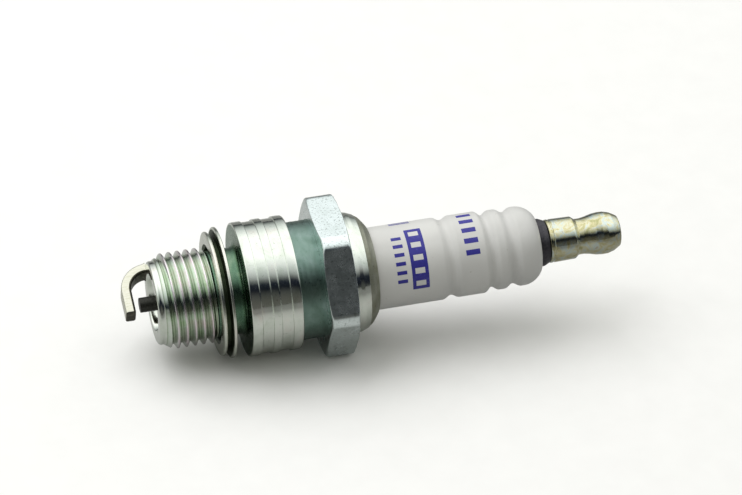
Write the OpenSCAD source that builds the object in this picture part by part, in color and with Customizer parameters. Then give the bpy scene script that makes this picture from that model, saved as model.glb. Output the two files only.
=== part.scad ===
// Spark plug with a 14 mm thread, a loose folded gasket and a screwed-on terminal nut.
// The plug's axis is +X. The origin is the centre of the plane that seats on the cylinder head.
// The spark gap is on -X, the terminal on +X, and two flats of the hexagon face +Z and -Z.
// Names that end in _x are places along the axis. Names that end in _r are radii.

/* [Thread] */
// Outer diameter of the thread
thread_d = 14; // [13.8:0.05:14.1]
// Distance from one crest to the next
thread_pitch = 1.25; // [1.2:0.01:1.27]
// Radial height of a crest above the root
thread_depth = 0.73; // [0.6:0.01:0.78]
// Number of full crests
crest_count = 5; // [4:1:5]
// Length from the seat plane to the end face of the shell
reach = 12.7; // [12.5:0.1:13.2]
// Radius of the bare pilot ring ahead of the thread
pilot_r = 6.05; // [5.9:0.01:6.1]

/* [Shell] */
// Radius of the seat barrel over its raised bands
barrel_r = 9.7; // [9.4:0.05:10.2]
// Length of the seat barrel
barrel_len = 7.5; // [7.2:0.1:7.7]
// Depth of the two turned-down bands of the barrel
band_depth = 0.2; // [0.1:0.05:0.4]
// Radius of the narrow heat-shrunk waist
waist_r = 8.55; // [8.2:0.05:9]
// Length of the narrow waist
waist_len = 3.5; // [3.2:0.1:3.7]
// Width of the hexagon across its flats
hex_af = 20.8; // [20.6:0.1:21]
// Length of the hexagon along the axis
hex_len = 4.4; // [4.2:0.1:4.5]
// Radius of the rounding of the hexagon's corners
hex_round_r = 11.6; // [11.5:0.05:12]
// Radius of the crimped collar
collar_r = 8.65; // [8.4:0.05:8.8]
// Radius of the bore round the insulator nose
mouth_r = 4.1; // [4:0.05:4.3]

/* [Gasket] */
// Bore of the gasket: it passes the neck, and the full crests hold it on
gasket_bore_r = 6.75; // [6.7:0.01:6.8]
// Distance from the gasket's back to the seat
gasket_standoff = 2.15; // [2.1:0.05:2.2]
// Thickness of the uncrushed gasket
gasket_t = 1.95; // [1.9:0.05:2]
// Radius over the front rim
front_rim_r = 9.0; // [8.8:0.05:9.2]
// Radius over the back rim
back_rim_r = 9.5; // [9.3:0.05:9.55]

/* [Spark gap] */
// Gap between the two electrodes
spark_gap = 0.8; // [0.6:0.05:0.9]
// Diameter of the centre electrode
electrode_d = 2.2; // [2:0.05:2.3]
// How far the centre electrode stands out of the shell
electrode_out = 1.85; // [1.7:0.05:2]
// Thickness of the ground electrode
strap_t = 1.45; // [1.3:0.05:1.5]
// Width of the ground electrode
strap_w = 2.7; // [2.4:0.05:3]
// How far the ground electrode reaches past the axis
strap_past = 1.5; // [1.2:0.1:2.4]
// Direction of the ground electrode's root round the axis, from +Y towards +Z
strap_turn = 24; // [0:1:90]

/* [Insulator] */
// Radius of the insulator's smooth neck
neck_r = 6; // [5.95:0.01:6.05]
// Place of the insulator's top face
top_x = 43.85; // [43.6:0.05:44.2]
// Radius of the insulator's body inside the hexagon
body_r = 7.1; // [6.9:0.05:7.15]
// Radius of the rounded head
head_r = 5.75; // [5.5:0.05:5.8]

/* [Terminal] */
// Outer diameter of the terminal nut
terminal_d = 6.35; // [6.3:0.01:6.4]
// Length of the terminal nut
nut_len = 10.8; // [10.7:0.1:11.2]
// Outer diameter of the stud's thread
stud_d = 4; // [3.9:0.02:4.02]

/* [Hidden] */

// Smoothness of the turned shapes
$fn = 96;
// Running clearance between a loose piece and what it runs on
running = 0.05;

// Thread
thread_allowance = 0.07;
crest_r = thread_d / 2 - thread_allowance;
root_r = crest_r - thread_depth;
crest_flat = thread_pitch / 8;
first_crest_x = -10.26;
half_crest_r = root_r + thread_depth * 0.45;
run_in_x = first_crest_x - thread_pitch * 0.95;
run_out_x = first_crest_x + thread_pitch * (crest_count - 0.2);
end_x = -reach;
edge = 0.35;

// Neck between the thread and the seat
relief_r = root_r + 0.1;
flare_r = 0.9;
seat_inner_r = relief_r + flare_r;

// Rims of the gasket
front_rim_w = 0.95;
back_rim_w = 0.45;
rim_round = 0.4;
rim_groove = 1;

// Barrel, narrow waist, hexagon and collar
waist_x = barrel_len;
hex_x = waist_x + waist_len;
hex_end_x = hex_x + hex_len;
hex_chamfer = 0.6;
hex_face_r = hex_af / 2 - 0.1;
low_bands = [[1.5, 3.1], [4.3, 5.95]];
collar_straight_x = hex_end_x + 1.3;
crimp_x = hex_end_x + 3.9;
packed_r = neck_r + 0.2;
crimp_inner_r = packed_r + running;
crimp_lip_r = crimp_inner_r + 0.15;
collar_shoulder = [collar_r - 0.45, collar_straight_x + 1.1];
collar_roll = [collar_r - 1.25, crimp_x - 0.65];
join = 0.1;

// Bore of the shell
inner_seat_x = -3.6;
inner_seat_len = 0.9;
core_bore_r = 5.05;
cavity_r = body_r + 0.05;
core_step_x = 5;
cavity_x = 6.2;
crimp_under_x = collar_straight_x + 0.3;
crimp_slope = 0.9;
mouth_bevel = 0.3;

// Insulator
nose_x = end_x + 1;
nose_tip_r = 1.95;
nose_base_r = 3.3;
seat_gasket_t = 0.4;
shoulder_x = 12.6;
shoulder_end_x = 13.6;
electrode_hole_r = electrode_d / 2 + running;
core_hole_r = 2;
core_hole_x = 3.5;
band_r = neck_r - 0.03;
groove_a = [5.45, 30.3, 1.38];
groove_b = [5.22, 36.35, 1.04];
groove_c = [5.2, 39.5, 1.22];
rib_r = 5.8;
head_x = 41.15;
head_round = 3.1;
top_face_r = 3.6;
nose_bevel = 0.4;
neck_step = 0.4;

// Packing between the shell and the insulator
packing_ring_t = 1;
lower_ring_x = 13.7;
talc_x = lower_ring_x + packing_ring_t;
upper_ring_x = crimp_under_x - packing_ring_t;

// Electrode and its core
tip_x = end_x - electrode_out;
electrode_head_r = core_hole_r;
electrode_head_x = core_hole_x;
electrode_head_end_x = 5.3;
copper_r = 0.6;
copper_tip_x = end_x + 0.6;

// Glass seals and resistor
lower_glass_end_x = 9;
resistor_end_x = 17.5;
upper_glass_end_x = 20.5;

// Terminal stud and nut
stud_r = stud_d / 2;
stud_collar_x = top_x;
stud_collar_end_x = top_x + 1.5;
stud_collar_r = 3.5;
stud_collar_straight = 0.6;
stud_collar_top_r = 3.15;
stud_tip_x = stud_collar_end_x + 7.65;
stud_bevel = 0.5;
shank_r = core_hole_r;
nut_x = stud_collar_end_x + 0.1;
nut_bore_r = stud_r + running;
nut_r = terminal_d / 2;
nut_base_end_x = nut_x + 3.9;
nut_bore_end_x = stud_tip_x + 0.4;
nut_drill_point = 0.6;
// The nut's outline beyond its base, as [radius, distance from its lower end]
nut_waist = [[2.6, 4.45], [2.6, 5.2]];
nut_head = [[2.9, 6.6], [3.08, 7.7], [3.08, 8.6], [2.8, 9.7], [2.4, 10.6], [1.9, nut_len]];

// Ground electrode
gap_x = tip_x - spark_gap;
strap_mid_x = gap_x - strap_t / 2;
strap_root_r = 5.27;
strap_bend_r = 3.35;
strap_corner = 0.35;

// A solid turned about the plug's axis. Each point is [radius, place along the axis].
module turned(points) {
    rotate([0, 90, 0])
        rotate_extrude()
            polygon(points);
}

// A ring of rectangular section
module ring(inner_r, outer_r, from_x, to_x) {
    turned([[inner_r, from_x], [outer_r, from_x], [outer_r, to_x], [inner_r, to_x]]);
}

// One crest of the thread, as a ridge with flanks at 60 degrees
module crest(x, r) {
    half = crest_flat / 2 + (r - root_r) * tan(30);
    inner_r = root_r - 0.2;
    turned([[inner_r, x - half], [root_r, x - half], [r, x - crest_flat / 2],
            [r, x + crest_flat / 2], [root_r, x + half], [inner_r, x + half]]);
}

module thread_crests() {
    for (i = [0:crest_count - 1])
        crest(first_crest_x + i * thread_pitch, crest_r);
    crest(run_in_x, half_crest_r);
    crest(run_out_x, half_crest_r);
}

// Outer shape of the shell from its end face to the hexagon, without grooves
module shell_front() {
    flare = [for (a = [90:-15:0]) [seat_inner_r - flare_r * sin(a), -flare_r * (1 - cos(a))]];
    turned(concat([[0, end_x], [pilot_r - edge, end_x], [pilot_r, end_x + edge],
                   [pilot_r, run_in_x], [root_r, run_in_x], [root_r, run_out_x],
                   [relief_r, run_out_x]],
                  flare,
                  [[barrel_r - edge, 0], [barrel_r, edge], [barrel_r, waist_x],
                   [waist_r, waist_x], [waist_r, hex_x], [0, hex_x]]));
}

// Hexagon with turned chamfers on both ends and rounded corners
module hexagon() {
    intersection() {
        translate([hex_x, 0, 0])
            rotate([0, 90, 0])
                rotate([0, 0, 30])
                    cylinder(h = hex_len, r = hex_af / 2 / cos(30), $fn = 6);
        turned([[0, hex_x], [hex_face_r, hex_x], [hex_round_r, hex_x + hex_chamfer],
                [hex_round_r, hex_end_x - hex_chamfer], [hex_face_r, hex_end_x], [0, hex_end_x]]);
    }
}

// Collar, rolled over on to the upper packing ring
module collar() {
    turned([[0, hex_end_x - join], [collar_r, hex_end_x - join],
            [collar_r, collar_straight_x], collar_shoulder, collar_roll,
            [crimp_lip_r, crimp_x], [0, crimp_x]]);
}

// Everything that the shell is open for, from its mouth to the crimp
module shell_bore() {
    turned([[0, end_x - 1], [mouth_r + mouth_bevel, end_x - 1], [mouth_r + mouth_bevel, end_x],
            [mouth_r, end_x + mouth_bevel], [mouth_r, inner_seat_x],
            [core_bore_r, inner_seat_x + inner_seat_len], [core_bore_r, core_step_x],
            [cavity_r, cavity_x], [cavity_r, crimp_under_x],
            [crimp_inner_r, crimp_under_x + crimp_slope], [crimp_inner_r, crimp_x + 1],
            [0, crimp_x + 1]]);
}

module shell() {
    color([0.72, 0.76, 0.72])
        difference() {
            union() {
                shell_front();
                thread_crests();
                hexagon();
                collar();
            }
            shell_bore();
            for (band = low_bands)
                ring(barrel_r - band_depth, barrel_r + 1, band[0], band[1]);
        }
}

// Section of the ground electrode: a rectangle with rounded corners
module strap_section() {
    flat_w = strap_w - 2 * strap_corner;
    flat_t = strap_t - 2 * strap_corner;
    square([strap_t, flat_w], center = true);
    square([flat_t, strap_w], center = true);
    for (u = [-1, 1], v = [-1, 1])
        translate([u * flat_t / 2, v * flat_w / 2])
            circle(r = strap_corner);
}

// The ground electrode with its root on +Z: a short leg off the shell, a bend and a long leg
module strap_upright() {
    bend_x = strap_mid_x + strap_bend_r;
    bend_z = strap_root_r - strap_bend_r;
    translate([bend_x, 0, strap_root_r])
        rotate([0, 90, 0])
            linear_extrude(height = end_x - bend_x)
                strap_section();
    translate([bend_x, 0, bend_z])
        rotate([90, 0, 0])
            rotate([0, 0, 90])
                rotate_extrude(angle = 90)
                    translate([strap_bend_r, 0])
                        strap_section();
    translate([strap_mid_x, 0, -strap_past])
        linear_extrude(height = bend_z + strap_past)
            strap_section();
}

module ground_electrode() {
    color([0.78, 0.76, 0.66])
        rotate([strap_turn - 90, 0, 0])
            strap_upright();
}

// Folded gasket: two rolled rims with a groove between them, on a web that holds them together
module outer_gasket() {
    back_x = -gasket_standoff;
    front_x = back_x - gasket_t;
    step_x = front_x + gasket_t / 2;
    front_end_x = front_x + front_rim_w;
    back_start_x = back_x - back_rim_w;
    groove_r = front_rim_r - rim_groove;
    web_r = seat_inner_r + 0.3;
    color([0.75, 0.78, 0.74])
        turned([[gasket_bore_r, front_x + 0.2], [gasket_bore_r + 0.3, front_x],
                [front_rim_r - rim_round, front_x], [front_rim_r, front_x + rim_round],
                [front_rim_r, front_end_x - 0.2], [front_rim_r - 0.2, front_end_x],
                [groove_r, front_end_x], [groove_r, back_start_x],
                [back_rim_r - 0.15, back_start_x], [back_rim_r, back_start_x + 0.15],
                [back_rim_r, back_x - 0.15], [back_rim_r - 0.15, back_x],
                [web_r, back_x], [web_r, step_x], [gasket_bore_r, step_x]]);
}

// A round groove turned into the insulator: [radius at its floor, place, radius of its section]
module insulator_groove(groove) {
    translate([groove[0] + groove[2], groove[1]])
        circle(r = groove[2]);
}

// Half of the insulator's section, without its grooves and its hole
module insulator_outline() {
    seat_front_x = inner_seat_x - seat_gasket_t * 1.2;
    slope = (core_bore_r - mouth_r) / inner_seat_len;
    cone_r = mouth_r - 0.1;
    cone_x = inner_seat_x + (cone_r - mouth_r) / slope + seat_gasket_t;
    core_r = core_bore_r - running;
    core_x = inner_seat_x + (core_r - mouth_r) / slope + seat_gasket_t;
    head = [for (a = [0:12:60]) [head_r - head_round * (1 - cos(a)), head_x + head_round * sin(a)]];
    polygon(concat([[0, nose_x], [nose_tip_r - nose_bevel, nose_x], [nose_tip_r, nose_x + nose_bevel],
                    [nose_base_r, seat_front_x], [cone_r, cone_x], [core_r, core_x],
                    [core_r, core_step_x], [body_r, cavity_x], [body_r, shoulder_x],
                    [packed_r, shoulder_end_x], [packed_r, crimp_x + join - neck_step],
                    [neck_r, crimp_x + join], [neck_r, groove_a[1]], [band_r, groove_a[1]],
                    [band_r, groove_b[1]], [rib_r, groove_b[1]], [rib_r, groove_c[1]],
                    [head_r, groove_c[1]]],
                   head,
                   [[top_face_r, top_x], [0, top_x]]));
}

module insulator_hole() {
    turned([[0, nose_x - 1], [electrode_hole_r, nose_x - 1], [electrode_hole_r, core_hole_x],
            [core_hole_r, core_hole_x], [core_hole_r, top_x + 1], [0, top_x + 1]]);
}

module insulator() {
    color([0.95, 0.95, 0.95])
        difference() {
            rotate([0, 90, 0])
                rotate_extrude()
                    difference() {
                        insulator_outline();
                        insulator_groove(groove_a);
                        insulator_groove(groove_b);
                        insulator_groove(groove_c);
                    }
            insulator_hole();
        }
}

// Thin conical washer that seals the insulator's shoulder against the shell
module inner_seat_gasket() {
    slope = (core_bore_r - mouth_r) / inner_seat_len;
    inner_r = mouth_r + 0.05;
    outer_r = core_bore_r - running;
    inner_x = inner_seat_x + (inner_r - mouth_r) / slope;
    outer_x = inner_seat_x + (outer_r - mouth_r) / slope;
    color([0.75, 0.45, 0.25])
        turned([[inner_r, inner_x], [outer_r, outer_x],
                [outer_r, outer_x + seat_gasket_t], [inner_r, inner_x + seat_gasket_t]]);
}

module lower_packing_ring() {
    color([0.6, 0.6, 0.62])
        ring(packed_r, cavity_r, lower_ring_x, talc_x);
}

module talc_packing() {
    color([0.85, 0.84, 0.8])
        ring(packed_r, cavity_r, talc_x, upper_ring_x);
}

module upper_packing_ring() {
    color([0.6, 0.6, 0.62])
        ring(packed_r, cavity_r, upper_ring_x, crimp_under_x);
}

// Nickel electrode with a head that hangs it in the insulator, and a bore for its copper core
module centre_electrode() {
    electrode_r = electrode_d / 2;
    color([0.12, 0.12, 0.12])
        turned([[0, tip_x], [electrode_r - 0.1, tip_x], [electrode_r, tip_x + 0.1],
                [electrode_r, electrode_head_x], [electrode_head_r, electrode_head_x],
                [electrode_head_r, electrode_head_end_x], [copper_r, electrode_head_end_x],
                [copper_r, copper_tip_x], [0, copper_tip_x]]);
}

module copper_core() {
    color([0.8, 0.45, 0.25])
        turned([[0, copper_tip_x], [copper_r, copper_tip_x],
                [copper_r, electrode_head_end_x], [0, electrode_head_end_x]]);
}

// A plug of material that fills the insulator's hole
module hole_filling(from_x, to_x) {
    turned([[0, from_x], [core_hole_r, from_x], [core_hole_r, to_x], [0, to_x]]);
}

module lower_glass_seal() {
    color([0.35, 0.38, 0.35])
        hole_filling(electrode_head_end_x, lower_glass_end_x);
}

module resistor() {
    color([0.2, 0.2, 0.22])
        hole_filling(lower_glass_end_x, resistor_end_x);
}

module upper_glass_seal() {
    color([0.35, 0.38, 0.35])
        hole_filling(resistor_end_x, upper_glass_end_x);
}

// Shank in the insulator, collar on its top face and threaded end for the nut
module terminal_stud() {
    color([0.1, 0.1, 0.1])
        turned([[0, upper_glass_end_x], [shank_r, upper_glass_end_x], [shank_r, stud_collar_x],
                [stud_collar_r, stud_collar_x],
                [stud_collar_r, stud_collar_x + stud_collar_straight],
                [stud_collar_top_r, stud_collar_end_x], [stud_r, stud_collar_end_x],
                [stud_r, stud_tip_x - stud_bevel], [stud_r - stud_bevel, stud_tip_x],
                [0, stud_tip_x]]);
}

// Terminal nut: a plain base, a waist that the cap's spring snaps into, and a rounded head
module terminal_nut() {
    outline = [for (point = concat(nut_waist, nut_head)) [point[0], nut_x + point[1]]];
    color([0.78, 0.76, 0.6])
        turned(concat([[nut_bore_r, nut_x], [nut_r, nut_x], [nut_r, nut_base_end_x]],
                      outline,
                      [[0, nut_x + nut_len], [0, nut_bore_end_x + nut_drill_point],
                       [nut_bore_r, nut_bore_end_x]]));
}

shell();
ground_electrode();
outer_gasket();
insulator();
inner_seat_gasket();
lower_packing_ring();
talc_packing();
upper_packing_ring();
centre_electrode();
copper_core();
lower_glass_seal();
resistor();
upper_glass_seal();
terminal_stud();
terminal_nut();
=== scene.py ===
import math

import bmesh
import bpy
import numpy as np
from mathutils import Matrix, Vector


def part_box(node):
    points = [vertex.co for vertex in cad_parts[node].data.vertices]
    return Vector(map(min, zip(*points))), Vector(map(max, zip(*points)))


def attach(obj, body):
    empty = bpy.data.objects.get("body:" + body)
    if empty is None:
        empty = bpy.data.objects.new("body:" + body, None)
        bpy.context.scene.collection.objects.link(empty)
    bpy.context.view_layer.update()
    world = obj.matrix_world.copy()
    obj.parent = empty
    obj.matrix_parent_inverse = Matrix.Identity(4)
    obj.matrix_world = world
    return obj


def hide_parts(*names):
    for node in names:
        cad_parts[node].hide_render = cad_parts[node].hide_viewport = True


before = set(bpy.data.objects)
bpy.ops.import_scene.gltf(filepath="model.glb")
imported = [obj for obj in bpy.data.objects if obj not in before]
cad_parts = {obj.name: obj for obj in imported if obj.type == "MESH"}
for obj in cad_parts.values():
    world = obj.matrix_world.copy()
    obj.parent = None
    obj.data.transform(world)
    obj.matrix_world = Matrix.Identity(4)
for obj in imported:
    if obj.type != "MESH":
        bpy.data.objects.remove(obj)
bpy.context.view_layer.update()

# Lengths are in millimetres, x along the plug's axis and r away from it; meshes are made in metres
MM = 0.001
# Faces round a turned piece, and steps round a rounded corner
SEGMENTS = 256
CORNER_STEPS = 5
# A rounding takes up at most this share of each edge beside it, and has a support point on each side:
# this far off, or by this share of the edge where that is less
CORNER_SHARE = 0.45
SUPPORT = 0.04
SUPPORT_SHARE = 0.04


# --- Sizes read from the frame -----------------------------------------------------------------

def span(node, axis):
    """Lowest and highest place of a CAD node along one axis, in mm."""
    low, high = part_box(node)
    return low[axis] / MM, high[axis] / MM


end_x, crimp_x = span("shell", 0)
nose_x, top_x = span("insulator", 0)
tip_x = span("centre_electrode", 0)[0]
gasket_front_x, gasket_back_x = span("outer_gasket", 0)
gasket_r = span("outer_gasket", 2)[1]
nut_x, nut_end_x = span("terminal_nut", 0)
nut_r = span("terminal_nut", 2)[1]
strap_out_x = span("ground_electrode", 0)[0]
hex_flat_r = span("shell", 2)[1]


# --- Mesh tools --------------------------------------------------------------------------------

def rounded(corners):
    """A closed outline of (x, r) points. Each corner is (x, r, radius), and a radius rounds it off."""
    outline = []
    count = len(corners)
    for i, (x, r, radius) in enumerate(corners):
        here = np.array([x, r])
        if radius <= 0:
            outline.append(here)
            continue
        before = np.array(corners[i - 1][:2]) - here
        after = np.array(corners[(i + 1) % count][:2]) - here
        reach_before, reach_after = np.linalg.norm(before), np.linalg.norm(after)
        before, after = before / reach_before, after / reach_after
        half = math.acos(np.clip(before @ after, -1, 1)) / 2
        cut = min(radius / math.tan(half), reach_before * CORNER_SHARE, reach_after * CORNER_SHARE)
        radius = cut * math.tan(half)
        middle = (before + after) / np.linalg.norm(before + after)
        centre = here + middle * radius / math.sin(half)
        start, end = here + before * cut, here + after * cut
        spare = min(SUPPORT, reach_before * SUPPORT_SHARE)
        outline.append(start + before * spare)
        first = start - centre
        last = end - centre
        sweep = math.atan2(first[0] * last[1] - first[1] * last[0], first @ last)
        for step in range(CORNER_STEPS + 1):
            angle = sweep * step / CORNER_STEPS
            turn = np.array([[math.cos(angle), -math.sin(angle)], [math.sin(angle), math.cos(angle)]])
            outline.append(centre + turn @ first)
        spare = min(SUPPORT, reach_after * SUPPORT_SHARE)
        outline.append(end + after * spare)
    return outline


def arc(centre_x, centre_r, radius, start, end, steps):
    """Corners along an arc in the (x, r) plane, from one angle to another in degrees."""
    angles = np.radians(np.linspace(start, end, steps + 1))
    return [(centre_x + radius * math.cos(a), centre_r + radius * math.sin(a), 0) for a in angles]


def line(x0, x1, r, step):
    """Corners at even steps along a straight stretch, for a surface that isn't plainly round."""
    count = max(2, int(round(abs(x1 - x0) / step)) + 1)
    return [(x, r, 0) for x in np.linspace(x0, x1, count)]


def build(name, points, faces, materials, face_materials=None):
    """Makes a smooth piece from points in millimetres, with its faces turned outwards."""
    mesh = bpy.data.meshes.new(name)
    mesh.from_pydata((np.asarray(points, float) * MM).tolist(), [], [list(f) for f in faces])
    for material in materials:
        mesh.materials.append(material)
    if face_materials is not None:
        mesh.polygons.foreach_set("material_index", np.asarray(face_materials, np.int32))
    cleaner = bmesh.new()
    cleaner.from_mesh(mesh)
    bmesh.ops.remove_doubles(cleaner, verts=cleaner.verts, dist=1e-7)
    bmesh.ops.recalc_face_normals(cleaner, faces=cleaner.faces)
    cleaner.to_mesh(mesh)
    cleaner.free()
    mesh.shade_smooth()
    piece = bpy.data.objects.new(name, mesh)
    bpy.context.scene.collection.objects.link(piece)
    return piece


def lathe(name, outline, materials, shape=None, pick=None, segments=SEGMENTS):
    """Turns a closed outline about the plug's axis.
    shape(x, r, angle) gives the radius where the surface isn't round, and pick(x, r) a face's material."""
    outline = np.array(outline)
    count = len(outline)
    angles = np.linspace(0, 2 * math.pi, segments, endpoint=False)
    x, angle = np.meshgrid(outline[:, 0], angles)
    r = np.tile(outline[:, 1], (segments, 1))
    if shape:
        r = shape(x, r, angle)
    points = np.stack([x, r * np.cos(angle), r * np.sin(angle)], -1).reshape(-1, 3)
    i, j = np.meshgrid(np.arange(segments), np.arange(count), indexing="ij")
    next_i, next_j = (i + 1) % segments, (j + 1) % count
    corners = [i * count + j, i * count + next_j, next_i * count + next_j, next_i * count + j]
    faces = np.stack(corners, -1).reshape(-1, 4)
    face_materials = None
    if pick:
        middle = (outline + np.roll(outline, -1, 0)) / 2
        face_materials = np.tile([pick(*m) for m in middle], segments)
    return build(name, points, faces, materials, face_materials)


def smooth_min(a, b, blend):
    """The smaller of two surfaces, with the edge where they meet rounded off."""
    share = np.clip(0.5 + 0.5 * (b - a) / blend, 0, 1)
    return b * (1 - share) + a * share - blend * share * (1 - share)


# --- Materials ---------------------------------------------------------------------------------

WHITE = (1.0, 1.0, 1.0)
# Most of a noise lies between these values
NOISE_SPAN = (0.3, 0.7)


def new_node(tree, kind, **settings):
    node = tree.nodes.new(kind)
    for setting, value in settings.items():
        setattr(node, setting, value)
    return node


def fill_ramp(node, stops):
    """Gives a colour ramp its stops, which are (place, colour)."""
    elements = node.color_ramp.elements
    while len(elements) < len(stops):
        elements.new(0.5)
    for element, (place, colour) in zip(elements, stops):
        element.position = place
        element.color = (*colour, 1.0)


class Surface:
    """A Principled material whose colour, roughness and bump come from textures in millimetres."""

    def __init__(self, name, metallic, roughness, **values):
        self.material = bpy.data.materials.new(name)
        self.material.use_nodes = True
        self.tree = self.material.node_tree
        self.shader = self.tree.nodes["Principled BSDF"]
        self.shader.inputs["Metallic"].default_value = metallic
        self.shader.inputs["Roughness"].default_value = roughness
        for socket, value in values.items():
            self.shader.inputs[socket.replace("_", " ")].default_value = value
        self.place = self.add("ShaderNodeTexCoord").outputs["Object"]
        self.normal = None

    def add(self, kind, **settings):
        return new_node(self.tree, kind, **settings)

    def link(self, source, target):
        self.tree.links.new(source, target)

    def noise(self, stretch, detail=4.0, roughness=0.55, distortion=0.0):
        """Noise with features 1/stretch mm long along X, Y and Z."""
        mapping = self.add("ShaderNodeMapping")
        mapping.inputs["Scale"].default_value = [s / MM for s in stretch]
        self.link(self.place, mapping.inputs["Vector"])
        node = self.add("ShaderNodeTexNoise")
        node.inputs["Scale"].default_value = 1.0
        node.inputs["Detail"].default_value = detail
        node.inputs["Roughness"].default_value = roughness
        node.inputs["Distortion"].default_value = distortion
        self.link(mapping.outputs["Vector"], node.inputs["Vector"])
        return node.outputs["Fac"]

    def ramp(self, value, stops):
        """Colours by a value: stops are (place, colour)."""
        node = self.add("ShaderNodeValToRGB")
        fill_ramp(node, stops)
        self.link(value, node.inputs["Fac"])
        return node.outputs["Color"]

    def mix(self, factor, low, high, blend="MIX"):
        """One colour laid over another by a factor, which is a number or a socket."""
        node = self.add("ShaderNodeMix", data_type="RGBA", blend_type=blend)
        if isinstance(factor, float):
            node.inputs["Factor"].default_value = factor
        else:
            self.link(factor, node.inputs["Factor"])
        self.link(low, node.inputs["A"])
        self.link(high, node.inputs["B"])
        return node.outputs["Result"]

    def times(self, first, second):
        """One colour multiplied by another."""
        return self.mix(1.0, first, second, blend="MULTIPLY")

    def levels(self, value, low, high, to_low, to_high):
        """A value spread from one range to another, and held at the ends."""
        node = self.add("ShaderNodeMapRange")
        for socket, number in zip(("From Min", "From Max", "To Min", "To Max"), (low, high, to_low, to_high)):
            node.inputs[socket].default_value = number
        self.link(value, node.inputs["Value"])
        return node.outputs["Result"]

    def colour(self, socket):
        self.link(socket, self.shader.inputs["Base Color"])

    def rough(self, noise, smoothest, roughest):
        self.link(self.levels(noise, *NOISE_SPAN, smoothest, roughest), self.shader.inputs["Roughness"])

    def bump(self, height, depth):
        """Bump of a depth in mm, laid over the bumps made before."""
        node = self.add("ShaderNodeBump")
        node.inputs["Strength"].default_value = 1.0
        node.inputs["Distance"].default_value = depth * MM
        self.link(height, node.inputs["Height"])
        if self.normal:
            self.link(self.normal, node.inputs["Normal"])
        self.normal = node.outputs["Normal"]
        self.link(self.normal, self.shader.inputs["Normal"])


# Noise stretched like this runs in rings round the axis, as a lathe leaves them
TURNED_FINE = (14.0, 0.25, 0.25)
TURNED_COARSE = (2.6, 0.1, 0.1)


def zinc(name, stops, roughness=(0.06, 0.15), pits=0.0012, rings=0.0015, grime_at=(0.28, 0.37)):
    """Bright plated steel: a cloudy tint, fine turned rings, and small pits and scratches."""
    surface = Surface(name, metallic=1.0, roughness=0.2)
    clouds = surface.noise((0.45, 0.3, 0.3), detail=5.0, distortion=0.6)
    specks = surface.noise((3.2, 3.2, 3.2), detail=5.0, roughness=0.65)
    tint = surface.ramp(clouds, stops)
    grime = surface.ramp(specks, [(grime_at[0], (0.42, 0.43, 0.38)), (grime_at[1], WHITE)])
    surface.colour(surface.times(tint, grime))
    surface.rough(specks, *roughness)
    surface.bump(surface.noise(TURNED_FINE, detail=2.0), rings)
    surface.bump(specks, pits)
    return surface.material


def shell_zinc():
    return zinc("shell_zinc", [(0.30, (0.66, 0.72, 0.62)), (0.48, (0.78, 0.83, 0.75)),
                               (0.60, (0.82, 0.85, 0.78)), (0.74, (0.80, 0.78, 0.70))])


def hexagon_zinc():
    """The hexagon is drawn, not turned: an even, slightly duller skin with handling marks."""
    surface = Surface("hexagon_zinc", metallic=1.0, roughness=0.3)
    clouds = surface.noise((0.5, 0.5, 0.5), detail=5.0)
    specks = surface.noise((2.6, 2.6, 2.6), detail=6.0, roughness=0.75)
    marks = surface.noise((1.2, 6.0, 6.0), detail=3.0)
    tint = surface.ramp(clouds, [(0.3, (0.74, 0.82, 0.80)), (0.6, (0.84, 0.92, 0.91))])
    grime = surface.ramp(specks, [(0.34, (0.40, 0.42, 0.40)), (0.46, WHITE)])
    surface.colour(surface.times(tint, grime))
    surface.rough(clouds, 0.18, 0.30)
    surface.bump(marks, 0.003)
    surface.bump(specks, 0.004)
    return surface.material


# Pitch of the thread, and its radius at the crests and roots
PITCH = 1.25
CREST_R = 6.93
ROOT_R = 6.17


def thread_zinc():
    """Pinkish crests and greener flanks by the distance from the axis, with the roots darkened to a deep
    green as painted shade.
    """
    surface = Surface("thread_zinc", metallic=1.0, roughness=0.2)
    clouds = surface.noise((0.5, 0.4, 0.4), detail=5.0, distortion=0.6)
    specks = surface.noise((3.2, 3.2, 3.2), detail=5.0, roughness=0.65)
    across = surface.add("ShaderNodeVectorMath", operation="MULTIPLY")
    across.inputs[1].default_value = (0.0, 1.0 / MM, 1.0 / MM)
    surface.link(surface.place, across.inputs[0])
    from_axis = surface.add("ShaderNodeVectorMath", operation="LENGTH")
    surface.link(across.outputs["Vector"], from_axis.inputs[0])
    height = surface.levels(from_axis.outputs["Value"], ROOT_R, CREST_R, 0.0, 1.0)
    # Painted shade: the colour darkens towards the thread's roots, over the passivate's pink-to-green tint
    root_shade_and_tint = surface.ramp(height, [(0.03, (0.40, 0.49, 0.36)), (0.16, (0.68, 0.77, 0.66)),
                                      (0.6, (0.80, 0.86, 0.80)), (0.95, (0.86, 0.82, 0.83))])
    by_place = surface.ramp(clouds, [(0.32, (0.88, 0.95, 0.82)), (0.46, WHITE), (0.68, (1.0, 0.90, 0.93))])
    grime = surface.ramp(specks, [(0.28, (0.42, 0.43, 0.38)), (0.38, WHITE)])
    surface.colour(surface.times(surface.times(root_shade_and_tint, by_place), grime))
    surface.rough(specks, 0.08, 0.18)
    surface.bump(surface.noise(TURNED_FINE, detail=2.0), 0.002)
    return surface.material


def seat_passivate_and_shade():
    """Green passivate, darkened further as painted shade, on the neck and the shoulder round the gasket."""
    return zinc("seat_passivate_and_shade", [(0.30, (0.08, 0.16, 0.10)), (0.50, (0.13, 0.235, 0.155)),
                                   (0.70, (0.22, 0.32, 0.22))], roughness=(0.18, 0.32), rings=0.004)


def teal_passivate():
    """Duller and bluer, on the waist."""
    return zinc("teal_passivate", [(0.30, (0.14, 0.22, 0.18)), (0.50, (0.20, 0.30, 0.255)),
                                   (0.70, (0.28, 0.38, 0.35))], roughness=(0.26, 0.40), rings=0.008)


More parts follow.
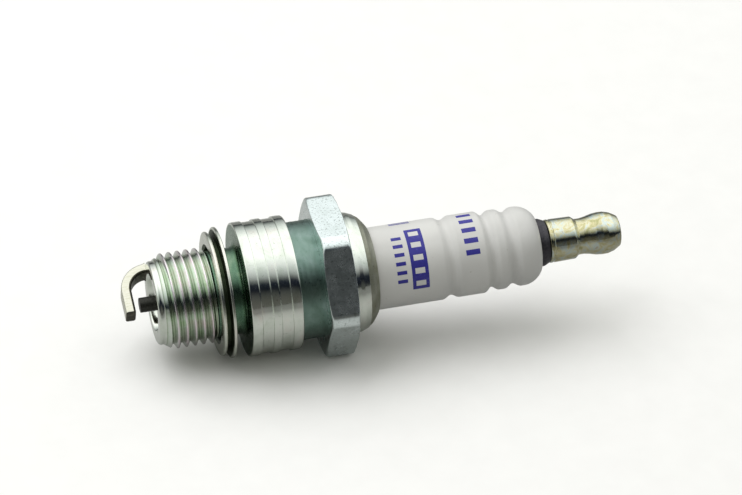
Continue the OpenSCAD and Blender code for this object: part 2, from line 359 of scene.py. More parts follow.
def rolled_lip():
    """Rough and yellowish, where the collar was rolled over."""
    return zinc("rolled_lip", [(0.30, (0.24, 0.24, 0.17)), (0.50, (0.35, 0.36, 0.28)),
                               (0.70, (0.46, 0.47, 0.40))],
                roughness=(0.36, 0.52), pits=0.006, grime_at=(0.30, 0.42))


def gasket_steel():
    return zinc("gasket_steel", [(0.30, (0.66, 0.71, 0.60)), (0.50, (0.78, 0.81, 0.72)),
                                 (0.70, (0.80, 0.77, 0.70))], roughness=(0.14, 0.24))


def gasket_hollow_shade():
    """Painted shade: nearly black, in the bore and inside the fold."""
    return zinc("gasket_hollow_shade", [(0.30, (0.03, 0.05, 0.025)), (0.50, (0.06, 0.085, 0.045)),
                                  (0.70, (0.10, 0.13, 0.08))], roughness=(0.35, 0.55))


def nut_passivate():
    """Bright and cloudy, from yellow to a bluish grey."""
    surface = Surface("nut_passivate", metallic=1.0, roughness=0.2)
    clouds = surface.noise((0.7, 0.7, 0.7), detail=6.0, distortion=1.2)
    specks = surface.noise((3.5, 3.5, 3.5), detail=5.0, roughness=0.7)
    tint = surface.ramp(clouds, [(0.30, (0.44, 0.44, 0.22)), (0.42, (0.62, 0.58, 0.34)),
                                 (0.52, (0.70, 0.70, 0.52)), (0.60, (0.60, 0.70, 0.66)),
                                 (0.72, (0.56, 0.48, 0.34))])
    grime = surface.ramp(specks, [(0.26, (0.45, 0.44, 0.36)), (0.38, WHITE)])
    surface.colour(surface.times(tint, grime))
    surface.rough(specks, 0.07, 0.20)
    surface.bump(surface.noise(TURNED_FINE, detail=2.0), 0.002)
    surface.bump(surface.noise((1.0, 1.0, 1.0), detail=3.0), 0.012)
    return surface.material


def nickel_strap():
    """Drawn wire: its grain runs along the plug's axis."""
    surface = Surface("nickel_strap", metallic=1.0, roughness=0.3)
    drawn = surface.noise((0.8, 5.0, 5.0), detail=4.0)
    surface.colour(surface.ramp(drawn, [(0.3, (0.60, 0.60, 0.47)), (0.5, (0.72, 0.72, 0.60)),
                                        (0.7, (0.78, 0.77, 0.68))]))
    surface.rough(drawn, 0.22, 0.36)
    surface.bump(drawn, 0.004)
    return surface.material


def strap_inner_shade():
    """Painted shade on the strap's inner side, the one that faces the axis, and on its rounded end: nearly
    black.
    """
    surface = Surface("strap_inner_shade", metallic=0.9, roughness=0.4)
    grain = surface.noise((2.0, 2.0, 2.0), detail=5.0)
    surface.colour(surface.ramp(grain, [(0.3, (0.045, 0.043, 0.030)), (0.6, (0.085, 0.082, 0.060)),
                                        (0.75, (0.16, 0.155, 0.12))]))
    surface.rough(grain, 0.30, 0.45)
    surface.bump(grain, 0.004)
    return surface.material


def black_nickel():
    surface = Surface("black_nickel", metallic=0.6, roughness=0.4)
    grain = surface.noise((4.0, 4.0, 4.0), detail=5.0)
    surface.colour(surface.ramp(grain, [(0.3, (0.016, 0.016, 0.012)), (0.7, (0.048, 0.050, 0.042))]))
    surface.rough(grain, 0.30, 0.45)
    surface.bump(grain, 0.004)
    return surface.material


def black_oxide():
    surface = Surface("black_oxide", metallic=0.5, roughness=0.36)
    grain = surface.noise((3.0, 3.0, 3.0), detail=5.0)
    surface.colour(surface.ramp(grain, [(0.3, (0.030, 0.030, 0.036)), (0.7, (0.070, 0.066, 0.076))]))
    surface.rough(grain, 0.28, 0.42)
    surface.bump(surface.noise(TURNED_COARSE, detail=3.0), 0.006)
    return surface.material


def glazed_ceramic():
    surface = Surface("glazed_ceramic", metallic=0.0, roughness=0.34, Coat_Weight=0.15, Coat_Roughness=0.2)
    clouds = surface.noise((0.12, 0.12, 0.12), detail=3.0)
    specks = surface.noise((2.0, 2.0, 2.0), detail=2.0)
    tint = surface.ramp(clouds, [(0.35, (0.60, 0.60, 0.59)), (0.65, (0.65, 0.65, 0.635))])
    dust = surface.ramp(specks, [(0.20, (0.70, 0.68, 0.62)), (0.27, WHITE)])
    surface.colour(surface.times(tint, dust))
    surface.rough(clouds, 0.30, 0.42)
    surface.bump(surface.noise((0.5, 0.3, 0.3), detail=2.0), 0.012)
    return surface.material


def blue_ink():
    surface = Surface("blue_ink", metallic=0.0, roughness=0.4)
    wear = surface.noise((2.5, 2.5, 2.5), detail=5.0, roughness=0.7)
    surface.colour(surface.ramp(wear, [(0.28, (0.10, 0.09, 0.42)), (0.42, (0.030, 0.028, 0.28)),
                                       (0.70, (0.024, 0.022, 0.24))]))
    surface.rough(wear, 0.35, 0.5)
    surface.bump(wear, 0.003)
    return surface.material


def plain(name, metallic, roughness, dark, light, grain=4.0):
    """A sealed inner piece: one colour with a grain."""
    surface = Surface(name, metallic=metallic, roughness=roughness)
    texture = surface.noise((grain, grain, grain), detail=4.0)
    surface.colour(surface.ramp(texture, [(0.3, dark), (0.7, light)]))
    surface.bump(texture, 0.01)
    return surface.material


# --- Shell -------------------------------------------------------------------------------------

CREST_FLAT = 0.13
FLANK_ANGLE = math.radians(30)
# A crest passes this place on the +Y side
CREST_PHASE_X = -10.78
# The thread rises to its full height along the first of these stretches, and falls along the second
RUN_IN = (-11.75, -10.6)
RUN_OUT = (-4.95, -4.15)
# How far the roots, the crests, the ends of the thread and the edges of the flats are rounded
ROOT_BLEND = 0.12
CREST_BLEND = 0.06
RUN_BLEND = 0.05
FLAT_BLEND = 0.04
THREAD_STEP = 0.045
PILOT_R = 6.03
RELIEF_R = 6.25
SEAT_INNER_R = 7.2
BARREL_R = 9.7
# Two bands of the barrel are turned down to this radius, between these places
LOW_BAND_R = 9.5
LOW_BANDS = ((1.5, 3.1), (4.3, 5.95))
BARREL_END_X = 7.5
WAIST_R = 8.52
HEX_X = 11.0
HEX_END_X = 15.4
HEX_CORNER_R = 11.59
# The collar's rolled lip starts here
LIP_X = 17.62
# Radii of the hole: at the lip, round the packing, round the insulator's lower body, and at the mouth
LIP_BORE_R = 6.22
PACKING_BORE_R = 7.15
LOWER_BORE_R = 5.05
MOUTH_R = 4.1


def thread_or_hexagon(x, r, angle):
    """Radius of the shell: a helical thread along the reach, and flats along the hexagon."""
    depth = CREST_R - ROOT_R
    # The hole passes the same places along the axis, and has no thread
    in_thread = (x > RUN_IN[0]) & (x < RUN_OUT[1]) & (r > MOUTH_R + 0.5)
    turns = (x - CREST_PHASE_X) / PITCH - angle / (2 * math.pi)
    off_crest = np.abs(turns - np.round(turns)) * PITCH
    flank = depth - np.maximum(0, off_crest - CREST_FLAT / 2) / math.tan(FLANK_ANGLE)
    height = -smooth_min(-flank, np.zeros_like(flank), ROOT_BLEND)
    height = smooth_min(height, np.full_like(height, depth), CREST_BLEND)
    rise = np.clip((x - RUN_IN[0]) / (RUN_IN[1] - RUN_IN[0]), 0, 1)
    fall = np.clip((RUN_OUT[1] - x) / (RUN_OUT[1] - RUN_OUT[0]), 0, 1)
    limit = depth * np.minimum(rise, fall)
    threaded = r + np.maximum(0, smooth_min(height, limit, RUN_BLEND))
    r = np.where(in_thread, threaded, r)
    in_hexagon = (x >= HEX_X - 0.01) & (r > hex_flat_r - 1.2)
    from_flat = np.mod(angle, math.radians(60)) - math.radians(30)
    flats = hex_flat_r / np.cos(from_flat)
    return np.where(in_hexagon, smooth_min(flats, r, FLAT_BLEND), r)


def barrel_outline():
    """Five turned bands, each very slightly crowned."""
    barrel = []
    edges = [0.0] + [edge for band in LOW_BANDS for edge in band] + [BARREL_END_X]
    for k, (start, end) in enumerate(zip(edges, edges[1:])):
        r = LOW_BAND_R if k % 2 else BARREL_R
        barrel += [(start + 0.02, r, 0.1), ((start + end) / 2, r + 0.012, 0), (end - 0.02, r, 0.1)]
    barrel[0] = (0.0, BARREL_R, 0.22)
    barrel[-1] = (BARREL_END_X, BARREL_R - 0.03, 0.3)
    return barrel


def waist_r(x):
    """Radius of the waist, with the shallow waves that its turning left."""
    return WAIST_R + 0.008 * math.sin(2 * math.pi * x / 0.78) - 0.01 * math.cos(2 * math.pi * x / 1.9)


def hexagon_outline():
    """The hexagon before its flats are cut: a turned disc with a rounded rim on each side."""
    front, back = HEX_X, HEX_END_X
    return (
        [(front, WAIST_R, 0.1), (front, hex_flat_r - 0.05, 0), (front + 0.02, hex_flat_r + 0.2, 0),
         (front + 0.08, hex_flat_r + 0.55, 0), (front + 0.18, HEX_CORNER_R - 0.28, 0),
         (front + 0.3, HEX_CORNER_R - 0.08, 0), (front + 0.45, HEX_CORNER_R, 0)]
        + line(front + 0.7, back - 0.5, HEX_CORNER_R, 0.25)
        + [(back - 0.34, HEX_CORNER_R - 0.03, 0), (back - 0.2, HEX_CORNER_R - 0.25, 0),
           (back - 0.09, HEX_CORNER_R - 0.7, 0), (back - 0.02, hex_flat_r, 0), (back, 9.6, 0),
           (back + 0.06, 9.05, 0.1)]
    )


def collar_outline():
    """The collar behind the hexagon, and its lip, which was rolled over the insulator."""
    return [
        (HEX_END_X + 0.8, 8.74, 0.5), (16.75, 8.62, 0.5), (LIP_X, 8.27, 0.1), (LIP_X + 0.04, 8.2, 0.03),
        (18.3, 7.75, 0.5), (18.85, 7.05, 0.5), (19.22, 6.52, 0.12), (crimp_x, 6.36, 0.1),
        (crimp_x - 0.12, LIP_BORE_R, 0.05),
    ]


def hole_outline():
    """The hole for the insulator, from the lip to the mouth."""
    return [
        (crimp_x - 0.9, LIP_BORE_R, 0), (crimp_x - 1.6, PACKING_BORE_R, 0), (6.2, PACKING_BORE_R, 0),
        (5.0, LOWER_BORE_R, 0), (-2.7, LOWER_BORE_R, 0), (-3.6, MOUTH_R, 0), (end_x + 0.3, MOUTH_R, 0),
    ]


def shell_outline():
    flare = SEAT_INNER_R - RELIEF_R
    return rounded(
        [(end_x, MOUTH_R + 0.28, 0.1), (end_x, PILOT_R, 0.42), (RUN_IN[0] - 0.05, PILOT_R, 0)]
        + line(RUN_IN[0], RUN_OUT[1], ROOT_R, THREAD_STEP)
        + [(RUN_OUT[1] + 0.1, RELIEF_R, 0), (-flare * 1.1, RELIEF_R, 0)]
        + arc(-flare, SEAT_INNER_R, flare, start=-90, end=0, steps=8)
        + barrel_outline()
        + [(BARREL_END_X, WAIST_R, 0.08)]
        + [(x, waist_r(x), 0) for x in np.linspace(BARREL_END_X + 0.25, HEX_X - 0.1, 40)]
        + hexagon_outline()
        + collar_outline()
        + hole_outline()
    )


# The shell's materials, in the order of their slots
SHELL_MATERIALS = {"bright": shell_zinc, "thread": thread_zinc, "seat": seat_passivate_and_shade,
                   "waist": teal_passivate, "hexagon": hexagon_zinc, "lip": rolled_lip}


def shell_material(x, r):
    """Slot of the material that a face of the shell takes, by where it is."""
    zone = "bright"
    if RUN_IN[0] < x < RUN_OUT[1] and r > ROOT_R - 0.15:
        zone = "thread"
    elif RUN_OUT[1] - 0.05 < x < 0.01 and r < BARREL_R - 0.25:
        zone = "seat"
    elif BARREL_END_X < x < HEX_X + 0.02 and r < WAIST_R + 0.9:
        zone = "waist"
    elif HEX_X <= x < HEX_END_X:
        zone = "hexagon"
    elif x > LIP_X:
        zone = "lip"
    return list(SHELL_MATERIALS).index(zone)


shell = lathe("shell_body", shell_outline(), [make() for make in SHELL_MATERIALS.values()],
              shape=thread_or_hexagon, pick=shell_material, segments=240)
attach(shell, "plug")
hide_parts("shell")


# --- Ground electrode --------------------------------------------------------------------------

STRAP_T = 1.45
STRAP_W = 2.7
STRAP_CORNER = 0.34
# Distance of the strap's middle from the plug's axis at the weld, radius of its bend, and how far its
# end goes past the axis
STRAP_ROOT_R = 5.27
STRAP_BEND_R = 3.35
STRAP_PAST = 1.5
# The weld swells the strap by this much at the shell, and the swelling fades over the same distance
WELD = 0.12
# How the strap's end is rounded: (further along, drawn in by)
STRAP_END = ((0.04, 0.015), (0.09, 0.05), (0.13, 0.11), (0.15, 0.2), (0.15, 0.5))
# The strap's root lies this far round from +Y towards +Z
STRAP_TURN = math.radians(24)


def strap_path():
    """Centre and direction of travel along the strap, in the plane of its bend: (x, radial, angle)."""
    mid_x = strap_out_x + STRAP_T / 2
    bend_x, bend_r = mid_x + STRAP_BEND_R, STRAP_ROOT_R - STRAP_BEND_R
    path = [(x, STRAP_ROOT_R, 0.0) for x in (end_x, bend_x)]
    for angle in np.linspace(0, math.pi / 2, 24)[1:]:
        path.append((bend_x - STRAP_BEND_R * math.sin(angle), bend_r + STRAP_BEND_R * math.cos(angle), angle))
    path += [(mid_x, r, math.pi / 2) for r in np.linspace(bend_r, -STRAP_PAST, 16)[1:]]
    return path


def strap_section(inset, weld):
    """Rounded rectangle as (across the thickness, across the width), drawn in or swollen by the weld."""
    half_t, half_w = STRAP_T / 2 - inset + weld, STRAP_W / 2 - inset + weld * 1.3
    corner = max(STRAP_CORNER - inset, 0.05)
    section = []
    for quarter in range(4):
        centre_t = (half_t - corner) * (1 if quarter in (0, 3) else -1)
        centre_w = (half_w - corner) * (1 if quarter in (0, 1) else -1)
        for step in range(7):
            angle = math.radians(90 * quarter + 15 * step)
            section.append((centre_t + corner * math.cos(angle), centre_w + corner * math.sin(angle)))
    return section


def strap():
    path = strap_path()
    rings = [(x, r, angle, 0.0, WELD * math.exp(-(end_x - x) / WELD)) for x, r, angle in path]
    x, r, angle = path[-1]
    rings += [(x, r - further, angle, inset, 0.0) for further, inset in STRAP_END]
    points, faces, picks = [], [], []
    across = Vector((0, math.cos(STRAP_TURN + math.pi / 2), math.sin(STRAP_TURN + math.pi / 2)))
    outward = Vector((0, math.cos(STRAP_TURN), math.sin(STRAP_TURN)))
    for x, r, angle, inset, weld in rings:
        thick = outward * math.cos(angle) + Vector((-1, 0, 0)) * math.sin(angle)
        for t, w in strap_section(inset, weld):
            points.append(Vector((x, 0, 0)) + outward * r + thick * t + across * w)
    section = strap_section(0, 0)
    count = len(section)
    for k in range(len(rings) - 1):
        for j in range(count):
            after = (j + 1) % count
            faces.append((k * count + j, k * count + after, (k + 1) * count + after, (k + 1) * count + j))
            # The inner side and the end take the nearly black painted shade
            inside = section[j][0] + section[after][0] < 2 * STRAP_CORNER - STRAP_T
            picks.append(1 if inside or k >= len(path) else 0)
    faces.append(tuple(range(count)))
    faces.append(tuple((len(rings) - 1) * count + j for j in range(count)))
    picks += [0, 1]
    return build("ground_strap", [list(p) for p in points], faces, [nickel_strap(), strap_inner_shade()], picks)


ground_strap = strap()
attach(ground_strap, "plug")
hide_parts("ground_electrode")


# --- Outer gasket ------------------------------------------------------------------------------

# Radius of the groove's floor, inside the fold
FOLD_R = 7.6


def gasket():
    """A folded ring: a rounded front rim, a deep groove and a thinner back rim. Its hollows are painted
    nearly black as shade.
    """
    front, back = gasket_front_x, gasket_back_x
    back_r = gasket_r - 0.02
    outline = rounded([
        (front + 0.3, 6.78, 0.1), (front + 0.04, 7.15, 0.15), (front, 7.9, 0.3), (front + 0.02, 8.55, 0.2),
        (front + 0.16, 8.94, 0.12), (front + 0.38, 9.0, 0.15), (front + 0.62, 8.86, 0.12),
        (front + 0.72, 8.5, 0.1), (front + 0.74, FOLD_R, 0.08), (back - 0.58, FOLD_R, 0.08),
        (back - 0.56, gasket_r - 0.35, 0.1), (back - 0.46, back_r, 0.12), (back - 0.1, back_r, 0.12),
        (back, gasket_r - 0.35, 0.1), (back, 7.1, 0.1), (back - 0.2, 6.82, 0.1), (front + 0.9, 6.78, 0),
    ])

    def in_hollow(x, r):
        """1 in the bore and in the fold, which take the painted shade, 0 on the rims."""
        return int(r < FOLD_R - 0.2 or front + 0.66 < x < back - 0.5 and r < 9.2)

    return lathe("folded_gasket", outline, [gasket_steel(), gasket_hollow_shade()], pick=in_hollow)


folded_gasket = gasket()
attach(folded_gasket, "gasket")
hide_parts("outer_gasket")


# --- Insulator and its printed marks -----------------------------------------------------------

NECK_R = 5.98
# Grooves of the insulator: (place, half width, radius at the floor)
GROOVES = ((30.3, 1.3, 5.45), (36.35, 1.15, 5.22), (39.5, 1.3, 5.2))
# Radius of the insulator ahead of each groove and behind the last
BAND_RADII = (NECK_R, 5.95, 5.8, 5.75)
# The head is rounded from here on, with this radius and through this many degrees
HEAD_X = 41.15
HEAD_ROUND = 3.1
HEAD_TURN = 58
# Radii of the nose's tip, the lower body and the upper body, and the radius under the lip
TIP_R = 1.95
LOWER_BODY_R = 5.0
UPPER_BODY_R = 7.1
UNDER_LIP_R = 6.18
# The hole is narrow for the pin up to this place, and wide for the stud behind it
PIN_HOLE_R = 1.2
STUD_HOLE_R = 2.05
STEP_X = 3.5


def insulator_r(x):
    """Radius of the insulator between the collar and the head: bands with smooth grooves between them."""
    band = sum(x > place for place, _, _ in GROOVES)
    r = BAND_RADII[band]
    for place, half, floor_r in GROOVES:
        if abs(x - place) < half:
            r -= (BAND_RADII[band] - floor_r) * (1 + math.cos(math.pi * (x - place) / half)) / 2
    return r


def insulator_outline():
    head = [(HEAD_X + HEAD_ROUND * math.sin(a), BAND_RADII[-1] - HEAD_ROUND * (1 - math.cos(a)), 0)
            for a in np.radians(np.linspace(0, HEAD_TURN, 18))]
    return rounded(
        [(nose_x, PIN_HOLE_R, 0), (nose_x, TIP_R, 0.3), (-4.2, 3.3, 0.2), (-3.1, 4.0, 0),
         (-2.2, LOWER_BODY_R, 0), (5.0, LOWER_BODY_R, 0), (6.2, UPPER_BODY_R, 0), (12.6, UPPER_BODY_R, 0),
         (13.6, UNDER_LIP_R, 0), (crimp_x - 0.5, UNDER_LIP_R, 0), (crimp_x - 0.05, NECK_R, 0)]
        + [(x, insulator_r(x), 0) for x in np.linspace(crimp_x + 0.4, HEAD_X - 0.15, 170)]
        + head
        + [(top_x, 3.9, 0.2), (top_x, STUD_HOLE_R, 0), (STEP_X, STUD_HOLE_R, 0), (STEP_X, PIN_HOLE_R, 0)]
    )


insulator = lathe("glazed_insulator", insulator_outline(), [glazed_ceramic()])
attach(insulator, "plug")
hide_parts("insulator")

# Angles of the marks count up from this far round from -Y towards +Z, in degrees
MARK_FACING = 37
# The ink stands this far out of the glaze, and its cells reach this far into it
INK_T = 0.012
INK_DEPTH = 0.05
# Width of an ink cell's facets, in degrees
INK_STEP = 2.5


def ink(cells, r, points, faces):
    """Adds thin raised patches that follow a round surface. A cell is (x0, x1, low angle, high angle)."""
    for x0, x1, low, high in cells:
        row = max(2, int((high - low) / INK_STEP) + 1)
        base = len(points)
        for lift in (-INK_DEPTH, INK_T):
            for x in (x0, x1):
                for angle in np.radians(180 - MARK_FACING - np.linspace(low, high, row)):
                    points.append((x, (r + lift) * math.cos(angle), (r + lift) * math.sin(angle)))
        # The four rows of points are the corners of the cell's section, all along it
        under_0, under_1, top_0, top_1 = (base + k * row for k in range(4))
        for k in range(row - 1):
            for a, b in ((under_0, under_1), (top_1, top_0), (top_0, under_0), (under_1, top_1)):
                faces.append((a + k, a + k + 1, b + k + 1, b + k))
        for k in (0, row - 1):
            faces.append((under_0 + k, under_1 + k, top_1 + k, top_0 + k))


def windowed_panel(x0, x1, low, high, windows, border_x, border_angle):
    """Cells of a solid panel with a row of plain windows."""
    cells = [(x0, x0 + border_x, low, high), (x1 - border_x, x1, low, high)]
    for middle in np.linspace(low, high, windows + 1):
        start, end = max(low, middle - border_angle), min(high, middle + border_angle)
        cells.append((x0 + border_x, x1 - border_x, start, end))
    return cells


def bars(x0, x1, low, high, count, fill):
    """Cells of a row of plain bars, each of which fills this share of its place."""
    pitch = (high - low) / count
    middles = [low + (k + 0.5) * pitch for k in range(count)]
    return [(x0, x1, middle - pitch * fill / 2, middle + pitch * fill / 2) for middle in middles]


def marks():
    points, faces = [], []
    panel = windowed_panel(24.2, 26.65, low=-40, high=52, windows=5, border_x=0.5, border_angle=5.2)
    neck_bars = bars(22.05, 23.5, low=-31, high=44, count=6, fill=0.42)
    upper_bars = bars(22.6, 25.6, low=71, high=83, count=2, fill=0.5)
    ink(panel + neck_bars + upper_bars, NECK_R, points, faces)
    ink(bars(32.4, 34.45, low=-7, high=76, count=5, fill=0.45), BAND_RADII[1], points, faces)
    return build("printed_marks", points, faces, [blue_ink()])


printed_marks = marks()
for polygon in printed_marks.data.polygons:
    polygon.use_smooth = False
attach(printed_marks, "plug")


# --- Centre electrode, terminal stud and terminal nut ------------------------------------------

PIN_R = 1.1
PIN_HEAD_R = 1.98
PIN_HEAD_END_X = 5.3
# Hollow of the pin, which holds its copper core
CORE_R = 0.62
core_x = end_x + 0.6

pin = lathe("electrode_pin", rounded([
    (tip_x, 0.0, 0), (tip_x, PIN_R - 0.02, 0.1), (STEP_X, PIN_R, 0), (STEP_X, PIN_HEAD_R, 0),
    (PIN_HEAD_END_X, PIN_HEAD_R, 0), (PIN_HEAD_END_X, CORE_R, 0), (core_x, CORE_R, 0), (core_x, 0.0, 0),
]), [black_nickel()], segments=96)
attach(pin, "plug")
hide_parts("centre_electrode")


# The stud's M4 thread, and the shank that runs from here up through the insulator
STUD_PITCH = 0.7
STUD_ROOT_R = 1.62
STUD_CREST_R = 1.98
SHANK_X = 20.5
SHANK_R = 2.0


def stud_outline():
    """Collar on the insulator's top face, then an M4 thread cut as rings, then the shank below."""
    start, end = nut_x + 0.3, span("terminal_stud", 0)[1] - 0.5
    rings = []
    for k in range(int((end - start) / STUD_PITCH)):
        x = start + STUD_PITCH * k
        rings += [(x, STUD_ROOT_R, 0), (x + 0.27, STUD_CREST_R, 0), (x + 0.38, STUD_CREST_R, 0),
                  (x + 0.65, STUD_ROOT_R, 0)]
    return rounded(
        [(top_x, 3.47, 0.1), (top_x + 0.7, 3.48, 0.5), (nut_x - 0.12, 3.12, 0.12), (nut_x - 0.1, 1.9, 0.05)]
        + rings
        + [(end, STUD_ROOT_R, 0), (end + 0.35, 1.3, 0.1), (end + 0.35, 0.0, 0), (SHANK_X, 0.0, 0),
           (SHANK_X, SHANK_R, 0), (top_x, SHANK_R, 0)]
    )


stud = lathe("stud_with_collar", stud_outline(), [black_oxide()], segments=160)
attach(stud, "plug")
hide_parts("terminal_stud")


NUT_HOLE_R = 2.06


def nut_outline():
    """A thin rim, a plain base, a waist and a rounded head, hollow for the stud."""
    x = nut_x
    rim = [(x, NUT_HOLE_R, 0.1), (x, 3.06, 0.06), (x + 0.1, 3.16, 0.08), (x + 0.42, 3.16, 0.08),
           (x + 0.5, 3.05, 0.05), (x + 0.62, 3.05, 0.05)]
    base = [(x + 0.74, nut_r - 0.02, 0.1), (x + 2.0, nut_r - 0.05, 0.5), (x + 3.82, nut_r - 0.09, 0.3)]
    waist = [(x + 4.2, 2.78, 0.25), (x + 4.4, 2.62, 0.2), (x + 5.2, 2.6, 0.6), (x + 6.0, 2.74, 0.9)]
    head = [(x + 7.0, 2.99, 0.9), (x + 7.9, 3.08, 0.9), (x + 8.7, 3.06, 0.6), (x + 9.6, 2.82, 0.8),
            (x + 10.25, 2.45, 0.4), (x + 10.62, 2.22, 0.2), (nut_end_x, 1.7, 0.3), (nut_end_x, 0.0, 0)]
    hole = [(x + 8.6, 0.0, 0), (x + 8.0, NUT_HOLE_R, 0)]
    return rounded(rim + base + waist + head + hole)


nut = lathe("post_nut", nut_outline(), [nut_passivate()])
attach(nut, "nut")
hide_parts("terminal_nut")


# --- Sealed inner pieces keep their CAD shape --------------------------------------------------

copper = plain("copper", 1.0, 0.35, (0.55, 0.26, 0.14), (0.72, 0.38, 0.22))
packing_steel = plain("packing_steel", 1.0, 0.4, (0.38, 0.38, 0.39), (0.55, 0.55, 0.56))
talc = plain("talc", 0.0, 0.9, (0.72, 0.70, 0.64), (0.84, 0.83, 0.79), grain=8.0)
seal_glass = plain("seal_glass", 0.0, 0.3, (0.10, 0.12, 0.10), (0.20, 0.23, 0.20), grain=6.0)
carbon = plain("carbon_resistor", 0.0, 0.8, (0.02, 0.02, 0.022), (0.06, 0.06, 0.065), grain=8.0)
INNER = {"copper_core": copper, "inner_seat_gasket": copper, "lower_packing_ring": packing_steel,
         "upper_packing_ring": packing_steel, "talc_packing": talc, "lower_glass_seal": seal_glass,
         "upper_glass_seal": seal_glass, "resistor": carbon}
for node, material in INNER.items():
    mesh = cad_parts[node].data
    mesh.materials.clear()
    mesh.materials.append(material)


# --- Floor, light and camera -------------------------------------------------------------------

# The table touches the gasket's back rim and the front edge of the hexagon's lower flat
gasket_touch_x = (gasket_front_x + gasket_back_x) / 2 + 0.6
HEX_TOUCH_X = HEX_X + 0.25
# Half the table's length, in metres
FLOOR_REACH = 4.0
# Surfaces that mirror the table see it dimmer than the camera does: by DIM_NEAR within DIM_FROM of the
# origin, in metres, and by DIM_FAR beyond DIM_TO. Matt surfaces see DIM_MATT of that dimming.
DIM_FROM, DIM_TO = 0.03, 0.09
DIM_NEAR, DIM_FAR = 0.5, 0.8
DIM_MATT = 0.8


def floor_plane():
    """A point of the table and its upward direction: it slopes a little under the plug's axis."""
    gasket_low = Vector((gasket_touch_x, 0, -gasket_r)) * MM
    hexagon_low = Vector((HEX_TOUCH_X, 0, -hex_flat_r)) * MM
    along = (hexagon_low - gasket_low).normalized()
    up = Vector((0, 1, 0)).cross(along) * -1
    return gasket_low, up


def make_floor():
    """A pale table, dimmed for indirect rays so that the metal doesn't mirror a white field."""
    touch, up = floor_plane()
    mesh = bpy.data.meshes.new("floor")
    corners = [(x * FLOOR_REACH, y * FLOOR_REACH, 0) for x, y in ((-1, -1), (1, -1), (1, 1), (-1, 1))]
    mesh.from_pydata(corners, [], [(0, 1, 2, 3)])
    floor = bpy.data.objects.new("floor", mesh)
    floor.rotation_euler = up.to_track_quat("Z", "Y").to_euler()
    floor.location = touch
    surface = Surface("pale_floor", metallic=0.0, roughness=0.8, Specular_IOR_Level=0.1)
    paper = surface.noise((0.2, 0.2, 0.2), detail=2.0)
    pale = surface.ramp(paper, [(0.3, (0.86, 0.86, 0.86)), (0.7, (0.88, 0.88, 0.88))])
    distance = surface.add("ShaderNodeVectorMath", operation="LENGTH")
    surface.link(surface.place, distance.inputs[0])
    dimming = surface.levels(distance.outputs["Value"], DIM_FROM, DIM_TO, DIM_NEAR, DIM_FAR)
    seen = surface.add("ShaderNodeLightPath")
    indirect = surface.add("ShaderNodeMath", operation="MULTIPLY_ADD")
    indirect.inputs[1].default_value = DIM_MATT
    surface.link(seen.outputs["Is Diffuse Ray"], indirect.inputs[0])
    surface.link(seen.outputs["Is Glossy Ray"], indirect.inputs[2])
    amount = surface.add("ShaderNodeMath", operation="MULTIPLY")
    surface.link(dimming, amount.inputs[0])
    surface.link(indirect.outputs["Value"], amount.inputs[1])
    dim = surface.ramp(paper, [(0.3, (0.02, 0.02, 0.02)), (0.7, (0.03, 0.03, 0.03))])
    surface.colour(surface.mix(amount.outputs["Value"], pale, dim))
    mesh.materials.append(surface.material)
    bpy.context.scene.collection.objects.link(floor)


def softbox(name, place, target, width, depth, power):
    light = bpy.data.lights.new(name, "AREA")
    light.shape = "RECTANGLE"
    light.size, light.size_y = width, depth
    light.energy = power
    lamp = bpy.data.objects.new(name, light)
    lamp.location = place
    lamp.rotation_euler = (Vector(target) - Vector(place)).to_track_quat("-Z", "Y").to_euler()
    bpy.context.scene.collection.objects.link(lamp)
    return lamp


# The room's brightest direction is over the plug and a little behind it
ROOM_TOP = (0.0, 0.342, 0.940)
# It is brighter towards both ends of the plug too: this much is added to the cosine there, and
# ROOM_SHIFT is taken off everywhere
ROOM_ENDS = (0.50, 0.0, 0.0)
ROOM_SHIFT = 0.085
# How bright the room is, by the cosine of the angle from its brightest direction
ROOM_STOPS = [(-1.0, (0.16, 0.16, 0.15)), (-0.2, (0.095, 0.093, 0.085)), (0.0, (0.062, 0.064, 0.062)),
              (0.17, (0.008, 0.010, 0.016)), (0.33, (0.014, 0.018, 0.028)), (0.42, (0.14, 0.15, 0.15)),
              (0.50, (0.34, 0.36, 0.36)), (0.66, (0.68, 0.71, 0.71)), (0.80, (1.02, 1.04, 1.04)),
              (0.92, (1.35, 1.35, 1.35))]
# Matt surfaces see this share of an even, slightly warm light in place of the room
FILL_SHARE = 0.55
ROOM_FILL = (0.51, 0.505, 0.43, 1.0)


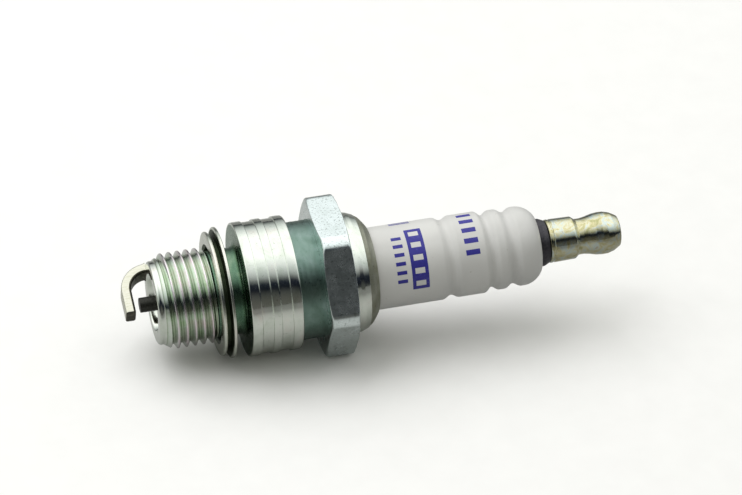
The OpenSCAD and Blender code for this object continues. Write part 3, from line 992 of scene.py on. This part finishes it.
def make_world():
    """The studio that the metal mirrors, white overhead and dark in front. The camera sees a white wall."""
    world = bpy.data.worlds.new("studio")
    bpy.context.scene.world = world
    world.use_nodes = True
    tree = world.node_tree
    link = tree.links.new
    direction = new_node(tree, "ShaderNodeTexCoord").outputs["Generated"]
    toward_top = new_node(tree, "ShaderNodeVectorMath", operation="DOT_PRODUCT")
    toward_top.inputs[1].default_value = ROOM_TOP
    link(direction, toward_top.inputs[0])
    either_end = new_node(tree, "ShaderNodeVectorMath", operation="ABSOLUTE")
    link(direction, either_end.inputs[0])
    toward_end = new_node(tree, "ShaderNodeVectorMath", operation="DOT_PRODUCT")
    toward_end.inputs[1].default_value = ROOM_ENDS
    link(either_end.outputs["Vector"], toward_end.inputs[0])
    total = new_node(tree, "ShaderNodeMath", operation="ADD")
    link(toward_top.outputs["Value"], total.inputs[0])
    link(toward_end.outputs["Value"], total.inputs[1])
    level = new_node(tree, "ShaderNodeMapRange")
    level.inputs["From Min"].default_value = ROOM_SHIFT - 1
    level.inputs["From Max"].default_value = ROOM_SHIFT + 1
    link(total.outputs["Value"], level.inputs["Value"])
    room = new_node(tree, "ShaderNodeValToRGB")
    fill_ramp(room, [((cosine + 1) / 2, colour) for cosine, colour in ROOM_STOPS])
    link(level.outputs["Result"], room.inputs["Fac"])
    ray = new_node(tree, "ShaderNodeLightPath").outputs
    share = new_node(tree, "ShaderNodeMath", operation="MULTIPLY")
    share.inputs[1].default_value = FILL_SHARE
    link(ray["Is Diffuse Ray"], share.inputs[0])
    filled = new_node(tree, "ShaderNodeMix", data_type="RGBA")
    filled.inputs["B"].default_value = ROOM_FILL
    link(share.outputs["Value"], filled.inputs["Factor"])
    link(room.outputs["Color"], filled.inputs["A"])
    wall = new_node(tree, "ShaderNodeMix", data_type="RGBA")
    wall.inputs["B"].default_value = (*WHITE, 1.0)
    link(ray["Is Camera Ray"], wall.inputs["Factor"])
    link(filled.outputs["Result"], wall.inputs["A"])
    link(wall.outputs["Result"], tree.nodes["Background"].inputs["Color"])


# The camera stands here, looks the opposite way to "back", and holds this way up
CAMERA_PLACE = Vector((-102.0, -566.05, 426.55)) * MM
CAMERA_BACK = Vector((-0.16946, -0.78964, 0.58971))
CAMERA_UP = Vector((0.15232, 0.57019, 0.80727))
CAMERA_LENS = 242.6


def make_camera():
    data = bpy.data.cameras.new("camera")
    data.lens = CAMERA_LENS
    data.clip_end = 20.0
    camera = bpy.data.objects.new("camera", data)
    back = CAMERA_BACK.normalized()
    right = CAMERA_UP.cross(back).normalized()
    axes = Matrix((right, back.cross(right), back)).transposed().to_4x4()
    camera.matrix_world = Matrix.Translation(CAMERA_PLACE) @ axes
    bpy.context.scene.collection.objects.link(camera)
    bpy.context.scene.camera = camera


make_floor()
make_world()
make_camera()
# The metal mirrors the room alone, so the lamp doesn't show in it
key = softbox("overhead", place=(-0.20, 0.22, 0.60), target=(0.02, 0.0, 0.0), width=0.9, depth=0.6, power=3.3)
key.visible_glossy = False
bpy.context.scene.view_settings.view_transform = "Standard"
